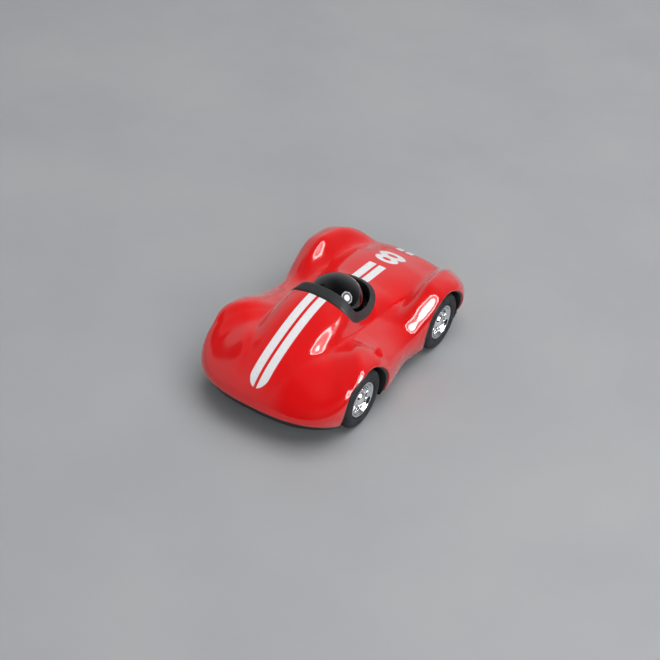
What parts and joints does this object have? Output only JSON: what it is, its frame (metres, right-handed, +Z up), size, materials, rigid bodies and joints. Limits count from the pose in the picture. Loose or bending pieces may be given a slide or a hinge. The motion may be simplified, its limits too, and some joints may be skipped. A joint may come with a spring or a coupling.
{
  "type": "pull back car",
  "caption": "Toy open-cockpit racing car with a low rounded body, faired wings, domed driver helmet, dished wheels and a geared pull-back spring motor between base and rear axle.",
  "frame": {"origin": "on the ground under the middle of the car, bottom centre of the bounding box", "axes": "nose points to -Y, the driver's left is +X, +Z is up; wheels stand on z = 0"},
  "size_m": [0.0736, 0.1274, 0.043],
  "materials": {
    "gloss_red_plastic": "high gloss moulded",
    "satin_black_plastic": "satin moulded",
    "matte_charcoal_plastic": "matte moulded",
    "gloss_black_plastic": "high gloss moulded",
    "black_rubber": "matte",
    "chromed_plastic": "bright vacuum plated",
    "axle_steel": "drawn wire",
    "zinc_screw": "zinc plated",
    "white_nylon": "natural moulded",
    "grey_motor_case": "satin moulded",
    "blued_spring_steel": "blued strip"
  },
  "bodies": {
    "car": {"body_shell": "gloss_red_plastic", "chassis_base": "satin_black_plastic", "cockpit_surround": "matte_charcoal_plastic", "cockpit_tub": "satin_black_plastic", "driver_helmet": "gloss_black_plastic", "front_axle_retainer": "satin_black_plastic", "motor_case_left": "grey_motor_case", "motor_case_right": "grey_motor_case", "mainspring": "blued_spring_steel", "clutch_pin": "axle_steel", "spring_pin": "axle_steel", "base_screw_front": "zinc_screw", "base_screw_rear_left": "zinc_screw", "base_screw_rear_right": "zinc_screw", "motor_screw_front": "zinc_screw", "motor_screw_rear": "zinc_screw", "retainer_screw_left": "zinc_screw", "retainer_screw_right": "zinc_screw"},
    "front_wheels": {"front_axle": "axle_steel", "front_left_hub": "chromed_plastic", "front_right_hub": "chromed_plastic", "front_left_tyre": "black_rubber", "front_right_tyre": "black_rubber"},
    "rear_wheels": {"rear_axle": "axle_steel", "rear_left_hub": "chromed_plastic", "rear_right_hub": "chromed_plastic", "rear_left_tyre": "black_rubber", "rear_right_tyre": "black_rubber", "axle_pinion": "white_nylon"},
    "clutch": {"clutch_gear": "white_nylon"},
    "spring_wheel": {"spring_gear": "white_nylon"}
  },
  "joints": [
    {"name": "rear_axle_spin", "type": "hinge", "parent": "car", "child": "rear_wheels", "pos_m": [0, 0.0336, 0.0132], "axis": [1, 0, 0], "continuous": true},
    {"name": "front_axle_spin", "type": "hinge", "parent": "car", "child": "front_wheels", "pos_m": [0, -0.0314, 0.0132], "axis": [1, 0, 0], "continuous": true},
    {"name": "clutch_spin", "type": "hinge", "parent": "car", "child": "clutch", "pos_m": [0, 0.02448, 0.0132], "axis": [1, 0, 0], "continuous": true},
    {"name": "spring_gear_spin", "type": "hinge", "parent": "car", "child": "spring_wheel", "pos_m": [0, 0.01586, 0.0132], "axis": [1, 0, 0], "continuous": true}
  ],
  "couplings": [
    {"joint": "clutch_spin", "follows": "rear_axle_spin", "ratio": -0.5},
    {"joint": "spring_gear_spin", "follows": "rear_axle_spin", "ratio": 0.20833}
  ]
}
